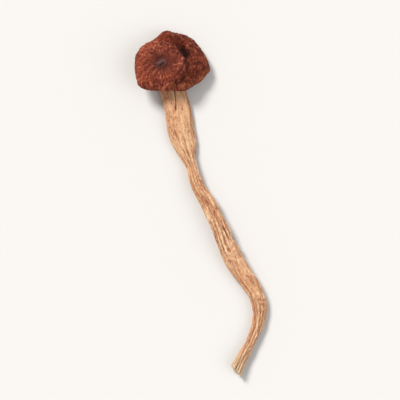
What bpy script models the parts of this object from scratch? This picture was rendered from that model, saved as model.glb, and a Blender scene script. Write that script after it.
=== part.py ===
"""A dried tea tree mushroom, lying as picked: a wrinkled cap, the gills under it, and a long ridged stem.

Run it with: blender --background --python part.py
Lengths are in millimetres up to the moment a mesh is made, where MM turns them into metres.
+Z is up and +Y runs from the cut base to the cap. The origin is under the middle of the whole mushroom,
on the surface that it lies on.
"""

import math

import bmesh
import bpy
import numpy as np
from mathutils import noise

MM = 0.001
OBJECT_NAME = "dried_tea_tree_mushroom"

# Cap: its own frame has z along the cap's axis, with z = 0 where the rim is lowest.
CAP_CENTRE = (-15.35, 59.05, 4.45)
CAP_TILT_BACK = math.radians(18)
CAP_TILT_RIGHT = math.radians(4)
# Reach of the outline every 15 degrees, anticlockwise from +X.
CAP_REACH = (
    *(19.6, 18.6, 18.0, 17.7, 16.8, 15.9, 16.3, 13.6, 12.2, 12.6, 12.9, 13.2),
    *(13.2, 13.7, 14.4, 16.1, 15.4, 14.0, 13.9, 13.5, 14.8, 15.7, 16.1, 18.2),
)
# The cap's section, as shares of the reach and heights: over the top, round the rolled rim and
# under it to the middle of the recess that holds the gills.
CAP_SECTION = (
    (0.00, 7.7),
    (0.14, 7.8),
    (0.28, 8.2),
    (0.42, 8.6),
    (0.56, 8.7),
    (0.70, 8.4),
    (0.82, 7.5),
    (0.92, 6.1),
    (0.985, 4.5),
    (1.00, 3.0),
    (0.975, 1.5),
    (0.92, 0.35),
    (0.85, 0.0),
    (0.79, 0.5),
    (0.755, 1.6),
    (0.74, 2.9),
    (0.66, 3.9),
    (0.50, 4.4),
    (0.25, 4.6),
    (0.00, 4.6),
)
CAP_SIDES = 104
CAP_RINGS = 28

# Shares of the way over the section where the top's relief fades out, and where the rim is.
TOP_ENDS = (0.40, 0.50)
RIM_MIDDLE = 0.52
RIM_WIDTH = 0.11
RIM_WAVE = 0.035
RIM_LUMP = 3.2

# The dome that the crease runs round, the crease, and the hollow in it.
DOME_CENTRE = (-1.8, -2.6)
CREASE_RADIUS = 11.8
CREASE_DEPTH = 1.5
CREASE_WIDTH = 1.7
CREASE_FROM = math.radians(-62)
CREASE_TO = math.radians(118)
CREASE_FADE = 0.6
HOLLOW_ANGLE = math.radians(33)
HOLLOW_DEPTH = 1.5
HOLLOW_WIDTH = 1.6
HOLLOW_SPREAD = 0.30

# The flap past the crease, which is folded down.
FLAP_DROP = 2.6
FLAP_STARTS = CREASE_RADIUS - 4.0
FLAP_ENDS = CREASE_RADIUS + 7.0
FLAP_ANGLE = -0.12
FLAP_HALF_SPREAD = math.radians(75)
FLAP_FADE = 1.0

# The sunken middle and the wrinkles that run out from it: fewer on the dome, more near the rim.
DIMPLE_DEPTH = 1.5
DIMPLE_WIDTH = 3.4
WRINKLES_INSIDE = 17
WRINKLES_OUTSIDE = 29
WRINKLE_HEIGHT = 0.48
WRINKLE_SWAY = 7.0
WRINKLE_BREAK = 4.5
WRINKLES_START = (2.0, 7.0)
WRINKLES_CHANGE = (8.0, 13.0)

# Gills: the plate that they hang from fills the recess with a gap all round.
GAP = 0.3
GILL_PAIRS = 18
GILL_SIDES = 8 * GILL_PAIRS
GILL_DEPTH = 1.35
GILLS_START = (5.9, 7.1)
SHORT_GILLS_START = (7.5, 9.0)
# Shares of the way over the section where the grooves between the gills fade out.
GILLS_END = (0.60, 0.66)
# Share of the reach where the torn veil begins, how far its edge wanders, and how much it fills.
VEIL_FROM = 0.54
VEIL_WANDER = 0.10
VEIL_TATTER = 0.05
VEIL_FILL = 0.8
# The underside's section, as shares of the cap's reach and heights, from the middle outwards, round
# the edge and back over the top. The middle is raised to a flat seat for the stem.
GILL_SECTION = (
    (0.00, 1.4),
    (0.17, 1.4),
    (0.31, 1.4),
    (0.43, 1.4),
    (0.54, 1.4),
    (0.63, 1.4),
    (0.70, 1.65),
    (0.715, 2.1),
    (0.69, 2.9),
    (0.60, 3.65),
    (0.30, 4.2),
    (0.00, 4.3),
)
GILL_RINGS = 14
SEAT_HEIGHT = 2.3
SEAT_ENDS = (5.7, 7.5)

# Stem: the neck leaves the seat along the cap's axis, given as depth, half width and half thickness.
NECK = ((0.0, 5.2, 4.3), (1.5, 5.1, 3.5))
# Then stations down to the cut base, each the middle (x, y, z), half the width, half the thickness,
# and the twist in degrees.
STEM_STATIONS = (
    (-14.80, 57.45, 3.35, 5.3, 2.9, 0),
    (-13.85, 54.25, 2.60, 5.5, 2.65, 0),
    (-12.05, 49.15, 2.40, 5.5, 2.6, 0),
    (-9.80, 41.15, 2.25, 5.7, 2.6, 2),
    (-8.55, 32.15, 2.25, 5.9, 2.65, 3),
    (-5.90, 23.15, 2.50, 4.6, 2.75, 8),
    (-3.55, 14.45, 3.10, 2.2, 2.55, 16),
    (-1.10, 5.95, 3.90, 3.0, 2.8, 26),
    (3.95, -2.85, 4.70, 3.3, 3.0, 30),
    (7.75, -11.15, 5.10, 3.5, 3.1, 22),
    (11.15, -19.35, 4.90, 3.9, 3.0, 10),
    (14.55, -26.25, 4.40, 4.1, 2.9, 0),
    (18.75, -32.75, 3.70, 3.8, 2.8, -8),
    (22.85, -38.85, 3.00, 3.4, 2.7, -12),
    (25.15, -45.55, 2.50, 3.1, 2.6, -6),
    (24.70, -52.85, 2.35, 2.6, 2.4, 0),
    (22.05, -60.35, 2.60, 2.05, 2.15, 8),
    (18.00, -67.85, 3.00, 2.35, 2.3, 14),
    (15.15, -73.70, 3.40, 3.1, 2.8, 18),
)
STEM_SIDES = 36
STEM_RINGS = 84
# Share of the rings that close each end.
END_SHARE = 0.035
# Share of the stem's length over which its sections turn square to the seat.
SQUARE_SHARE = 0.04

# Ribs along the stem, which drift round it, smooth next to the cap.
STEM_RIBS = 9
RIB_DEPTH = 0.62
RIB_CROWDING = 0.22
RIBS_FULL = 0.08
STEM_LUMP_HEIGHT = 0.38
STEM_LUMP = 1.4
STEM_LUMPS_ALONG = 22.0

# Furrows on top, one next to the cap and one that splits the cut end: each its angles in degrees
# where it starts and ends, its width in radians and its depth, and the shares of the stem's length
# between which it fades in and out.
FURROWS = (
    ((116, 67), 0.20, 1.1, (0.16, 0.19), (0.245, 0.275)),
    ((72, 68), 0.20, 1.0, (0.90, 0.95), (1.10, 1.20)),
)

# The cut end slants, longer on the right, and its edge is ragged.
SLANT_FROM = 0.94
SLANT = 0.45
CUT_FROM = 0.985
CUT_TEETH = ((3, 0.0, 0.22), (7, 1.0, 0.14))


def climb(x, span):
    """0 before the span, 1 after it, and a smooth climb between."""
    x = np.clip((x - span[0]) / (span[1] - span[0]), 0.0, 1.0)
    return x * x * (3.0 - 2.0 * x)


def bump(x):
    """A smooth hill of height 1 at 0, nearly gone at 2 either way."""
    return np.exp(-x * x)


def through(rows, t):
    """Reads the smooth curve through evenly spaced rows at each t from 0 to 1."""
    rows = np.asarray(rows, float)
    place = np.clip(t, 0.0, 1.0) * (len(rows) - 1)
    k = np.minimum(place.astype(int), len(rows) - 2)
    f = (place - k)[:, None]
    before = rows[np.maximum(k - 1, 0)]
    here = rows[k]
    there = rows[k + 1]
    after = rows[np.minimum(k + 2, len(rows) - 1)]
    return 0.5 * (
        2.0 * here
        + (there - before) * f
        + (2.0 * before - 5.0 * here + 4.0 * there - after) * f**2
        + (3.0 * here - before - 3.0 * there + after) * f**3
    )


def reach_at(angle):
    """The outline's reach at each angle, smooth all the way round."""
    wrapped = [[r] for r in CAP_REACH * 3]
    share = 1.0 / (len(wrapped) - 1)
    steps = np.mod(angle, 2.0 * np.pi) / (2.0 * np.pi) * len(CAP_REACH)
    return through(wrapped, (len(CAP_REACH) + steps) * share)[:, 0]


def cloud(points, grain, shift):
    """Smooth noise from about -1 to 1 at each point, with lumps about one grain across."""
    return np.array([noise.noise(p) for p in (points / grain + shift).tolist()])


def crease_window(angle):
    """1 along the crease, 0 past its two ends."""
    rise = climb(angle, (CREASE_FROM, CREASE_FROM + CREASE_FADE))
    fall = 1.0 - climb(angle, (CREASE_TO - CREASE_FADE, CREASE_TO))
    return rise * fall


def from_dome(x, y):
    """Distance and angle of each point from the middle of the dome."""
    dx = x - DOME_CENTRE[0]
    dy = y - DOME_CENTRE[1]
    return np.hypot(dx, dy), np.arctan2(dy, dx)


def flap_drop(x, y):
    """How far the folded flap past the crease hangs below the rest, top and underside alike."""
    distance, angle = from_dome(x, y)
    past = climb(distance, (FLAP_STARTS, FLAP_ENDS))
    aside = np.abs(angle - FLAP_ANGLE)
    return FLAP_DROP * past * (1.0 - climb(aside, (FLAP_HALF_SPREAD - FLAP_FADE, FLAP_HALF_SPREAD)))


def top_relief(x, y, share):
    """Height that the crease, the dimple and the wrinkles add to the cap's top."""
    distance, around = from_dome(x, y)
    off_crease = distance - CREASE_RADIUS
    valley = bump(off_crease / CREASE_WIDTH) * crease_window(around)
    pit = bump(off_crease / HOLLOW_WIDTH) * bump((around - HOLLOW_ANGLE) / HOLLOW_SPREAD)
    dimple = bump(distance / DIMPLE_WIDTH)
    flat = np.stack([x, y, np.zeros_like(x)], axis=1)
    sway = cloud(flat, WRINKLE_SWAY, 3.7)
    inside = np.cos(WRINKLES_INSIDE * around + 5.0 * sway + 0.25 * distance)
    outside = np.cos(WRINKLES_OUTSIDE * around - 6.0 * sway)
    far = climb(distance, WRINKLES_CHANGE)
    folds = inside * (1.0 - far) + outside * far
    breaks = 0.65 + 0.8 * cloud(flat, WRINKLE_BREAK, 11.3)
    strength = climb(distance, WRINKLES_START) * (1.0 - 0.5 * climb(share, (0.9, 1.0)))
    return (
        -CREASE_DEPTH * valley
        - HOLLOW_DEPTH * pit
        - DIMPLE_DEPTH * dimple
        + WRINKLE_HEIGHT * folds * breaks * strength
    )


def place_cap(x, y, z):
    """Turns points of the cap's own frame to where the tilted cap lies."""
    lean_x = x * math.cos(CAP_TILT_RIGHT) + z * math.sin(CAP_TILT_RIGHT)
    lean_z = z * math.cos(CAP_TILT_RIGHT) - x * math.sin(CAP_TILT_RIGHT)
    back_y = y * math.cos(CAP_TILT_BACK) + lean_z * math.sin(CAP_TILT_BACK)
    back_z = lean_z * math.cos(CAP_TILT_BACK) - y * math.sin(CAP_TILT_BACK)
    return np.stack([lean_x, back_y, back_z], axis=1) + CAP_CENTRE


def lie_on_surface(points):
    """Presses flat what would reach below the surface that the mushroom lies on."""
    points[:, 2] = np.maximum(points[:, 2], 0.0)
    return points


def cap_points(angle, t):
    """The cap's surface: the turned section, its outline, and the relief on its top and rim."""
    share, height = through(CAP_SECTION, t).T
    reach = reach_at(angle)
    x = share * reach * np.cos(angle)
    y = share * reach * np.sin(angle)
    on_top = 1.0 - climb(t, TOP_ENDS)
    rim = bump((t - RIM_MIDDLE) / RIM_WIDTH)
    flat = np.stack([x, y, height], axis=1)
    z = height + on_top * top_relief(x, y, share)
    push = 1.0 + RIM_WAVE * rim * cloud(flat, RIM_LUMP, 21.9)
    return lie_on_surface(place_cap(x * push, y * push, z - flap_drop(x, y)))


def gill_points(angle, t):
    """The gill plate: long and short gills by turns, and the veil's torn rest over their outer ends."""
    share, height = through(GILL_SECTION, t).T
    reach = reach_at(angle)
    x = share * reach * np.cos(angle)
    y = share * reach * np.sin(angle)
    distance = share * reach
    below = 1.0 - climb(t, GILLS_END)
    seat = (SEAT_HEIGHT - height) * (1.0 - climb(distance, SEAT_ENDS))
    height = height + seat * (t < 0.5)
    wave = np.cos(GILL_PAIRS * angle)
    long_gills = np.maximum(wave, 0.0)
    short_gills = np.maximum(-wave, 0.0) * climb(distance, SHORT_GILLS_START)
    gills = np.sqrt(long_gills + short_gills)
    torn_edge = VEIL_FROM + VEIL_WANDER * np.sin(2.0 * angle + 0.8) + VEIL_TATTER * np.sin(7.0 * angle)
    veil = climb(share, (torn_edge, torn_edge + VEIL_TATTER))
    groove = (1.0 - gills) * (1.0 - VEIL_FILL * veil) * climb(distance, GILLS_START) * below
    return place_cap(x, y, height + GILL_DEPTH * groove - flap_drop(x, y))


def unit(rows):
    """Each row at length 1."""
    return rows / np.linalg.norm(rows, axis=1, keepdims=True)


def on_cap_axis(height):
    """The point of the cap's axis at a height in the cap's own frame."""
    zero = np.zeros(1)
    return place_cap(zero, zero, zero + height)[0]


def all_stations():
    """The neck's stations under the seat, then those of the lying stem."""
    seat = SEAT_HEIGHT - GAP
    neck = [(*on_cap_axis(seat - depth), wide, thick, 0.0) for depth, wide, thick in NECK]
    return np.array(neck + list(STEM_STATIONS))


def stem_frame(run):
    """Station values of each section, and its directions along, sideways and upward."""
    stations = all_stations()
    step = 0.12 / len(stations)
    along = unit(through(stations, run + step)[:, :3] - through(stations, run - step)[:, :3])
    down_axis = on_cap_axis(-1.0) - on_cap_axis(0.0)
    square_to_seat = 1.0 - climb(run, (0.0, SQUARE_SHARE))[:, None]
    along = unit(along + (down_axis - along) * square_to_seat)
    side = unit(np.cross(along, [0.0, 0.0, 1.0]))
    upward = np.cross(side, along)
    return through(stations, run), along, side, upward


def turn_between(start, end):
    """The turn from one angle to another, from -pi to pi."""
    return np.angle(np.exp(1j * (end - start)))


def stem_points(angle, t):
    """The stem's surface: flattened sections along its route, with ribs, a furrow and a cut end."""
    run = np.clip((t - END_SHARE) / (1.0 - 2.0 * END_SHARE), 0.0, 1.0)
    top_end = np.clip(t / END_SHARE, 0.0, 1.0)
    cut_end = np.clip((1.0 - t) / END_SHARE, 0.0, 1.0)
    station, along, side, upward = stem_frame(run)
    wide, thick, twist = station[:, 3], station[:, 4], np.radians(station[:, 5])
    drift = 1.3 * np.sin(5.0 * run + 0.6) + 2.2 * run
    crowded = angle + RIB_CROWDING * np.sin(2.0 * angle + 9.0 * run)
    ribs = np.cos(STEM_RIBS * crowded + drift)
    fade = climb(run, (0.0, RIBS_FULL))
    relief = -RIB_DEPTH * (0.5 - 0.5 * ribs) * (0.15 + 0.85 * fade)
    for degrees, width, depth, starts, ends in FURROWS:
        middle = np.radians(np.interp(run, (starts[0], ends[1]), degrees))
        aside = turn_between(middle, angle) / width
        relief -= depth * bump(aside) * climb(run, starts) * (1.0 - climb(run, ends))
    lumps = np.stack([np.cos(angle), np.sin(angle), STEM_LUMPS_ALONG * run], axis=1)
    relief += STEM_LUMP_HEIGHT * cloud(lumps, STEM_LUMP, 5.1) * fade
    across = (wide + relief) * np.cos(angle)
    over = (thick + relief) * np.sin(angle)
    shrink = top_end * cut_end
    across, over = across * shrink, over * shrink
    turned_across = across * np.cos(twist) - over * np.sin(twist)
    turned_over = across * np.sin(twist) + over * np.cos(twist)
    teeth = sum(high * np.sin(n * angle + turn) for n, turn, high in CUT_TEETH)
    push = climb(run, (CUT_FROM, 1.0)) * shrink * teeth
    push -= climb(run, (SLANT_FROM, 1.0)) * SLANT * turned_across
    points = station[:, :3] + side * turned_across[:, None] + upward * turned_over[:, None]
    return lie_on_surface(points + along * push[:, None])


def material(name, colour, roughness):
    made = bpy.data.materials.new(name)
    made.use_nodes = True
    shader = made.node_tree.nodes["Principled BSDF"]
    shader.inputs["Base Color"].default_value = (*colour, 1.0)
    shader.inputs["Roughness"].default_value = roughness
    shader.inputs["Metallic"].default_value = 0.0
    return made


def formed_ball(name, sides, rings, shape, finish, collection):
    """A ball primitive whose points a formula moves: its latitude runs along the section or the stem."""
    mesh = bpy.data.meshes.new(name)
    ball = bmesh.new()
    bmesh.ops.create_uvsphere(ball, u_segments=sides, v_segments=rings, radius=1.0)
    places = np.array([v.co[:] for v in ball.verts])
    angle = np.arctan2(places[:, 1], places[:, 0])
    latitude = np.arccos(np.clip(places[:, 2], -1.0, 1.0)) / np.pi
    for vert, place in zip(ball.verts, shape(angle, latitude) * MM):
        vert.co = place
    bmesh.ops.triangulate(ball, faces=ball.faces[:])
    bmesh.ops.recalc_face_normals(ball, faces=ball.faces[:])
    ball.to_mesh(mesh)
    ball.free()
    mesh.shade_smooth()
    mesh.materials.append(finish)
    made = bpy.data.objects.new(name, mesh)
    collection.objects.link(made)
    return made


def main():
    for old in list(bpy.data.objects):
        bpy.data.objects.remove(old, do_unlink=True)
    collection = bpy.data.collections.new(OBJECT_NAME)
    bpy.context.scene.collection.children.link(collection)
    cap_skin = material("cap_skin", (0.25, 0.085, 0.042), 0.85)
    gill_flesh = material("gill_flesh", (0.62, 0.43, 0.26), 0.9)
    stem_fibre = material("stem_fibre", (0.58, 0.36, 0.21), 0.85)
    formed_ball("cap", CAP_SIDES, CAP_RINGS, cap_points, cap_skin, collection)
    formed_ball("gills", GILL_SIDES, GILL_RINGS, gill_points, gill_flesh, collection)
    formed_ball("stem", STEM_SIDES, STEM_RINGS, stem_points, stem_fibre, collection)


main()
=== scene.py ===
import math

import bpy
import numpy as np
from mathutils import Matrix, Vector, noise


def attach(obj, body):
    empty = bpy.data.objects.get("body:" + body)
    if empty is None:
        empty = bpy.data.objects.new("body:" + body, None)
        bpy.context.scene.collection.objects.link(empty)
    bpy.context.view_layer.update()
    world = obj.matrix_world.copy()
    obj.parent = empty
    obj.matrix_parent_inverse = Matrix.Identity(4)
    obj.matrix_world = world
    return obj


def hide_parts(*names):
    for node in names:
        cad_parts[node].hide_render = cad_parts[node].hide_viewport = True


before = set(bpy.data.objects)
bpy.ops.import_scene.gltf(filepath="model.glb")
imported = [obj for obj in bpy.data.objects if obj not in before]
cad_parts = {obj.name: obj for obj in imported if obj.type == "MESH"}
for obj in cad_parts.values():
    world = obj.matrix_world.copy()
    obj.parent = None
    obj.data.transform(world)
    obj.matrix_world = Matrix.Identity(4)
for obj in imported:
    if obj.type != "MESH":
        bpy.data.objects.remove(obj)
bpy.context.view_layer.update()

# A dried tea tree mushroom: fine cap, gills, veil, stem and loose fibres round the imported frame.
# The first quarter repeats values and formulas of part.py, and the rest adds what is finer.
# Lengths are in millimetres until a mesh is made, where MM turns them into metres.
MM = 0.001
BODY = "root"

# Cap: its own frame has z along the cap's axis, with z = 0 where the rim is lowest.
CAP_CENTRE = (-15.35, 59.05, 4.45)
CAP_TILT_BACK = math.radians(18)
CAP_TILT_RIGHT = math.radians(4)
# Reach of the outline every 15 degrees, anticlockwise from +X.
CAP_REACH = (
    *(19.6, 18.6, 18.0, 17.7, 16.8, 15.9, 16.3, 13.6, 12.2, 12.6, 12.9, 13.2),
    *(13.2, 13.7, 14.4, 16.1, 15.4, 14.0, 13.9, 13.5, 14.8, 15.7, 16.1, 18.2),
)
# The cap's section, as shares of the reach and heights: over the top, round the rolled rim and
# under it to the middle of the recess that holds the gills.
CAP_SECTION = (
    (0.00, 7.7),
    (0.14, 7.8),
    (0.28, 8.2),
    (0.42, 8.6),
    (0.56, 8.7),
    (0.70, 8.4),
    (0.82, 7.5),
    (0.92, 6.1),
    (0.985, 4.5),
    (1.00, 3.0),
    (0.975, 1.5),
    (0.92, 0.35),
    (0.85, 0.0),
    (0.79, 0.5),
    (0.755, 1.6),
    (0.74, 2.9),
    (0.66, 3.9),
    (0.50, 4.4),
    (0.25, 4.6),
    (0.00, 4.6),
)

# Shares of the way over the section where the top's relief fades out, and where the rim is.
TOP_ENDS = (0.40, 0.50)
RIM_MIDDLE = 0.52
RIM_WIDTH = 0.11
RIM_WAVE = 0.035
RIM_LUMP = 3.2

# The dome that the crease runs round, the crease, and the hollow in it.
DOME_CENTRE = (-1.8, -2.6)
CREASE_RADIUS = 11.8
CREASE_DEPTH = 1.5
CREASE_WIDTH = 1.7
CREASE_FROM = math.radians(-62)
CREASE_TO = math.radians(118)
CREASE_FADE = 0.6
HOLLOW_ANGLE = math.radians(33)
HOLLOW_DEPTH = 1.5
HOLLOW_WIDTH = 1.6
HOLLOW_SPREAD = 0.30

# The flap past the crease, which is folded down.
FLAP_DROP = 2.6
FLAP_STARTS = CREASE_RADIUS - 4.0
FLAP_ENDS = CREASE_RADIUS + 7.0
FLAP_ANGLE = -0.12
FLAP_HALF_SPREAD = math.radians(75)
FLAP_FADE = 1.0

# The sunken middle and the broad wrinkles that run out from it, lower here than in part.py,
# because the fine wrinkles take up the rest.
DIMPLE_DEPTH = 1.5
DIMPLE_WIDTH = 3.4
WRINKLES_INSIDE = 17
WRINKLES_OUTSIDE = 29
WRINKLE_HEIGHT = 0.17
WRINKLE_SWAY = 7.0
WRINKLE_BREAK = 4.5
WRINKLES_START = (2.0, 7.0)
WRINKLES_CHANGE = (8.0, 13.0)

# Gills.
GILL_DEPTH = 1.35
GILLS_START = (5.9, 7.1)
SHORT_GILLS_START = (7.5, 9.0)
GILLS_END = (0.60, 0.66)
# Share of the reach where the torn veil begins, and how far its edge wanders.
VEIL_FROM = 0.54
VEIL_WANDER = 0.10
VEIL_TATTER = 0.05
# The underside's section, as shares of the cap's reach and heights.
GILL_SECTION = (
    (0.00, 1.4),
    (0.17, 1.4),
    (0.31, 1.4),
    (0.43, 1.4),
    (0.54, 1.4),
    (0.63, 1.4),
    (0.70, 1.65),
    (0.715, 2.1),
    (0.69, 2.9),
    (0.60, 3.65),
    (0.30, 4.2),
    (0.00, 4.3),
)
SEAT_HEIGHT = 2.3
SEAT_ENDS = (5.7, 7.5)

# Stem: the neck leaves the seat along the cap's axis, as depth, half width and half thickness. Here
# it starts a little inside the gills, because the flesh is grown together.
NECK = ((0.0, 5.2, 4.3), (1.5, 5.1, 3.5))
NECK_SINKS = 0.3
# Then stations down to the cut base, each the middle (x, y, z), half the width, half the thickness,
# and the twist in degrees.
STEM_STATIONS = (
    (-14.80, 57.45, 3.35, 5.3, 2.9, 0),
    (-13.85, 54.25, 2.60, 5.5, 2.65, 0),
    (-12.05, 49.15, 2.40, 5.5, 2.6, 0),
    (-9.80, 41.15, 2.25, 5.7, 2.6, 2),
    (-8.55, 32.15, 2.25, 5.9, 2.65, 3),
    (-5.90, 23.15, 2.50, 4.6, 2.75, 8),
    (-3.55, 14.45, 3.10, 2.2, 2.55, 16),
    (-1.10, 5.95, 3.90, 3.0, 2.8, 26),
    (3.95, -2.85, 4.70, 3.3, 3.0, 30),
    (7.75, -11.15, 5.10, 3.5, 3.1, 22),
    (11.15, -19.35, 4.90, 3.9, 3.0, 10),
    (14.55, -26.25, 4.40, 4.1, 2.9, 0),
    (18.75, -32.75, 3.70, 3.8, 2.8, -8),
    (22.85, -38.85, 3.00, 3.4, 2.7, -12),
    (25.15, -45.55, 2.50, 3.1, 2.6, -6),
    (24.70, -52.85, 2.35, 2.6, 2.4, 0),
    (22.05, -60.35, 2.60, 2.05, 2.15, 8),
    (18.00, -67.85, 3.00, 2.35, 2.3, 14),
    (15.15, -73.70, 3.40, 3.1, 2.8, 18),
)
# Share of the rings that close each end.
END_SHARE = 0.035
# Share of the stem's length over which its sections turn square to the seat.
SQUARE_SHARE = 0.04

# Ribs along the stem, which drift round it, smooth next to the cap.
STEM_RIBS = 9
RIB_DEPTH = 0.62
RIB_CROWDING = 0.22
RIBS_FULL = 0.08
STEM_LUMP_HEIGHT = 0.38
STEM_LUMP = 1.4
STEM_LUMPS_ALONG = 22.0

# Furrows on top, next to the cap and in the cut end, narrower here than in part.py, and the pit
# that the first ends in: angles in degrees where each starts and ends, width in radians, depth,
# and the shares of the stem's length between which it fades in and out.
FURROWS = (
    ((116, 74), 0.040, 0.80, (0.16, 0.18), (0.245, 0.270)),
    ((80, 78), 0.075, 0.45, (0.240, 0.247), (0.253, 0.262)),
    ((72, 68), 0.070, 0.70, (0.945, 0.975), (1.10, 1.20)),
)

# The cut end slants, longer on the right, and its edge is ragged.
SLANT_FROM = 0.94
SLANT = 0.45
CUT_FROM = 0.985
CUT_TEETH = ((3, 0.0, 0.22), (7, 1.0, 0.14))


def climb(x, span):
    """0 before the span, 1 after it, and a smooth climb between."""
    x = np.clip((x - span[0]) / (span[1] - span[0]), 0.0, 1.0)
    return x * x * (3.0 - 2.0 * x)


def bump(x):
    """A smooth hill of height 1 at 0, nearly gone at 2 either way."""
    return np.exp(-x * x)


def through(rows, t):
    """Reads the smooth curve through evenly spaced rows at each t from 0 to 1."""
    rows = np.asarray(rows, float)
    place = np.clip(t, 0.0, 1.0) * (len(rows) - 1)
    k = np.minimum(place.astype(int), len(rows) - 2)
    f = (place - k)[:, None]
    before = rows[np.maximum(k - 1, 0)]
    here = rows[k]
    there = rows[k + 1]
    after = rows[np.minimum(k + 2, len(rows) - 1)]
    return 0.5 * (
        2.0 * here
        + (there - before) * f
        + (2.0 * before - 5.0 * here + 4.0 * there - after) * f**2
        + (3.0 * here - before - 3.0 * there + after) * f**3
    )


def reach_at(angle):
    """The outline's reach at each angle, smooth all the way round."""
    wrapped = [[r] for r in CAP_REACH * 3]
    share = 1.0 / (len(wrapped) - 1)
    steps = np.mod(angle, 2.0 * np.pi) / (2.0 * np.pi) * len(CAP_REACH)
    return through(wrapped, (len(CAP_REACH) + steps) * share)[:, 0]


def cloud(points, grain, shift):
    """Smooth noise from about -1 to 1 at each point, with lumps about one grain across."""
    return np.array([noise.noise(p) for p in (points / grain + shift).tolist()])


def crease_window(angle):
    """1 along the crease, 0 past its two ends."""
    rise = climb(angle, (CREASE_FROM, CREASE_FROM + CREASE_FADE))
    fall = 1.0 - climb(angle, (CREASE_TO - CREASE_FADE, CREASE_TO))
    return rise * fall


def from_dome(x, y):
    """Distance and angle of each point from the middle of the dome."""
    dx = x - DOME_CENTRE[0]
    dy = y - DOME_CENTRE[1]
    return np.hypot(dx, dy), np.arctan2(dy, dx)


def flap_drop(x, y):
    """How far the folded flap past the crease hangs below the rest, top and underside alike."""
    distance, angle = from_dome(x, y)
    past = climb(distance, (FLAP_STARTS, FLAP_ENDS))
    aside = np.abs(angle - FLAP_ANGLE)
    return FLAP_DROP * past * (1.0 - climb(aside, (FLAP_HALF_SPREAD - FLAP_FADE, FLAP_HALF_SPREAD)))


def top_relief(x, y, share):
    """Height that the crease, the dimple and the broad wrinkles add to the cap's top."""
    distance, around = from_dome(x, y)
    off_crease = distance - CREASE_RADIUS
    valley = bump(off_crease / CREASE_WIDTH) * crease_window(around)
    pit = bump(off_crease / HOLLOW_WIDTH) * bump((around - HOLLOW_ANGLE) / HOLLOW_SPREAD)
    dimple = bump(distance / DIMPLE_WIDTH)
    flat = np.stack([x, y, np.zeros_like(x)], axis=1)
    sway = cloud(flat, WRINKLE_SWAY, 3.7)
    inside = np.cos(WRINKLES_INSIDE * around + 5.0 * sway + 0.25 * distance)
    outside = np.cos(WRINKLES_OUTSIDE * around - 6.0 * sway)
    far = climb(distance, WRINKLES_CHANGE)
    folds = inside * (1.0 - far) + outside * far
    breaks = 0.65 + 0.8 * cloud(flat, WRINKLE_BREAK, 11.3)
    strength = climb(distance, WRINKLES_START) * (1.0 - 0.5 * climb(share, (0.9, 1.0)))
    return (
        -CREASE_DEPTH * valley
        - HOLLOW_DEPTH * pit
        - DIMPLE_DEPTH * dimple
        + WRINKLE_HEIGHT * folds * breaks * strength
    )


def place_cap(x, y, z):
    """Turns points of the cap's own frame to where the tilted cap lies."""
    lean_x = x * math.cos(CAP_TILT_RIGHT) + z * math.sin(CAP_TILT_RIGHT)
    lean_z = z * math.cos(CAP_TILT_RIGHT) - x * math.sin(CAP_TILT_RIGHT)
    back_y = y * math.cos(CAP_TILT_BACK) + lean_z * math.sin(CAP_TILT_BACK)
    back_z = lean_z * math.cos(CAP_TILT_BACK) - y * math.sin(CAP_TILT_BACK)
    return np.stack([lean_x, back_y, back_z], axis=1) + CAP_CENTRE


def lie_on_surface(points):
    """Presses flat what would reach below the surface that the mushroom lies on."""
    points[:, 2] = np.maximum(points[:, 2], 0.0)
    return points


def cap_shape(angle, t):
    """The cap before its fine wrinkles, in its own frame, with its share of the reach."""
    share, height = through(CAP_SECTION, t).T
    reach = reach_at(angle)
    x = share * reach * np.cos(angle)
    y = share * reach * np.sin(angle)
    on_top = 1.0 - climb(t, TOP_ENDS)
    rim = bump((t - RIM_MIDDLE) / RIM_WIDTH)
    flat = np.stack([x, y, height], axis=1)
    z = height + on_top * top_relief(x, y, share)
    push = 1.0 + RIM_WAVE * rim * cloud(flat, RIM_LUMP, 21.9)
    return np.stack([x * push, y * push, z - flap_drop(x, y)], axis=1), share


def unit(rows):
    """Each row at length 1."""
    return rows / np.maximum(np.linalg.norm(rows, axis=-1, keepdims=True), 1e-12)


def on_cap_axis(height):
    """The point of the cap's axis at a height in the cap's own frame."""
    zero = np.zeros(1)
    return place_cap(zero, zero, zero + height)[0]


def all_stations():
    """The neck's stations, then those of the lying stem."""
    seat = SEAT_HEIGHT + NECK_SINKS
    neck = [(*on_cap_axis(seat - depth), wide, thick, 0.0) for depth, wide, thick in NECK]
    return np.array(neck + list(STEM_STATIONS))


def stem_frame(run):
    """Station values of each section, and its directions along, sideways and upward."""
    stations = all_stations()
    step = 0.12 / len(stations)
    along = unit(through(stations, run + step)[:, :3] - through(stations, run - step)[:, :3])
    down_axis = on_cap_axis(-1.0) - on_cap_axis(0.0)
    square_to_seat = 1.0 - climb(run, (0.0, SQUARE_SHARE))[:, None]
    along = unit(along + (down_axis - along) * square_to_seat)
    side = unit(np.cross(along, [0.0, 0.0, 1.0]))
    upward = np.cross(side, along)
    return through(stations, run), along, side, upward


def turn_between(start, end):
    """The turn from one angle to another, from -pi to pi."""
    return np.angle(np.exp(1j * (end - start)))


# Finer shapes, in scene.py alone.


def on_tube(angle, radius, height):
    """Places on a tube, so that noise read there closes up round it."""
    return np.stack([radius * np.cos(angle), radius * np.sin(angle), height], axis=1)


def between(x, starts, ends):
    """0 before the first span, 1 after it, and 0 again after the second."""
    return climb(x, starts) * (1.0 - climb(x, ends))


def hill(x, width, middle=0.0):
    """A smooth hill of height 1 at its middle, nearly gone two widths away."""
    return bump((x - middle) / width)


def crumple(points, grain, shift):
    """Rounded lumps parted by sharp creases, from -1 in a crease to about 1 on a lump."""
    return 4.0 * np.abs(cloud(points, grain, shift)) - 1.0


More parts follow.
